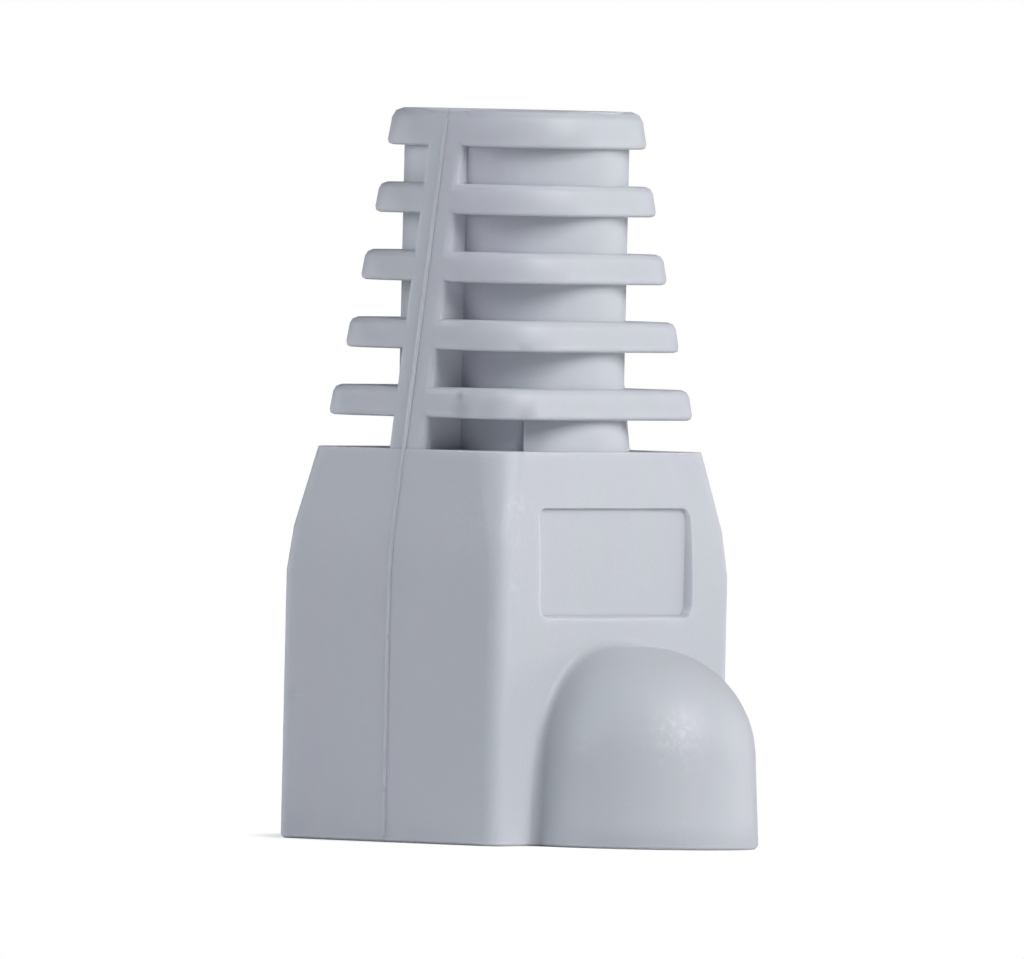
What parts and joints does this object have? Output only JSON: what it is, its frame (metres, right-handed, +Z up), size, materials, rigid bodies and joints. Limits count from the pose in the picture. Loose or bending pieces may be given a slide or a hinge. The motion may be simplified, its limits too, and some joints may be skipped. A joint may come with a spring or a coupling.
{
  "type": "rj45 strain relief boot",
  "caption": "Soft one-piece boot for a modular network plug: a rectangular sleeve with a latch hump and a ribbed, tapering cable neck.",
  "frame": {"origin": "middle of the plug opening, in the plane of the rim", "axes": "+Z up the cable, away from the plug; X across the width of the plug; the latch hump is on -Y"},
  "size_m": [0.014, 0.0155, 0.0265],
  "materials": {
    "boot": "satin moulded soft PVC, light grey"
  },
  "bodies": {
    "root": {"boot": "boot"}
  },
  "joints": []
}
